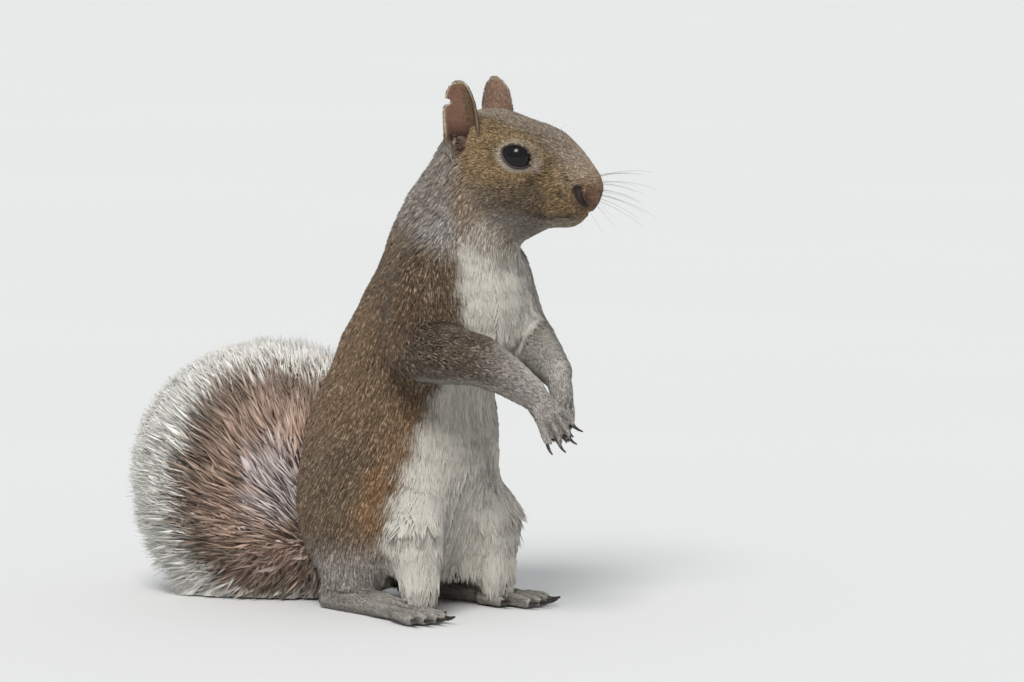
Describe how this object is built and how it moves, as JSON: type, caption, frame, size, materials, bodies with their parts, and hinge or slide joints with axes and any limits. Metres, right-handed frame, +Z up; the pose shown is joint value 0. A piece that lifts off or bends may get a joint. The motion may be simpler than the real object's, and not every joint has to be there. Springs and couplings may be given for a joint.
{
  "type": "squirrel",
  "caption": "Life-size adult grey squirrel standing upright on its hind feet, fore paws hanging before its chest, head turned to its left, bushy tail curled up behind it.",
  "frame": {"origin": "centre of the whole animal's box, on the floor it stands on", "axes": "+Z up, the trunk faces -Y, +X is the animal's left"},
  "size_m": [0.0922, 0.2078, 0.2117],
  "materials": {
    "coat": "grizzled grey-brown fur, white below",
    "tail": "long fur, reddish in the middle, dark banded and tipped with white",
    "ear": "thin skin with short fine hair and a pale rim",
    "eye": "wet, nearly black",
    "claw": "dark horn, satin"
  },
  "bodies": {
    "root": {"abdomen": "coat", "chest": "coat", "claw_foot_left_1": "claw", "claw_foot_left_2": "claw", "claw_foot_left_3": "claw", "claw_foot_left_4": "claw", "claw_foot_left_5": "claw", "claw_foot_right_1": "claw", "claw_foot_right_2": "claw", "claw_foot_right_3": "claw", "claw_foot_right_4": "claw", "claw_foot_right_5": "claw", "claw_hand_left_1": "claw", "claw_hand_left_2": "claw", "claw_hand_left_3": "claw", "claw_hand_left_4": "claw", "claw_hand_right_1": "claw", "claw_hand_right_2": "claw", "claw_hand_right_3": "claw", "claw_hand_right_4": "claw", "ear_left": "ear", "ear_right": "ear", "eye_left": "eye", "eye_right": "eye", "foot_left": "coat", "foot_right": "coat", "forearm_left": "coat", "forearm_right": "coat", "hand_left": "coat", "hand_right": "coat", "head": "coat", "neck": "coat", "shin_left": "coat", "shin_right": "coat", "tail_1": "tail", "tail_2": "tail", "tail_3": "tail", "tail_4": "tail", "tail_5": "tail", "thigh_left": "coat", "thigh_right": "coat", "upper_arm_left": "coat", "upper_arm_right": "coat"}
  },
  "joints": []
}
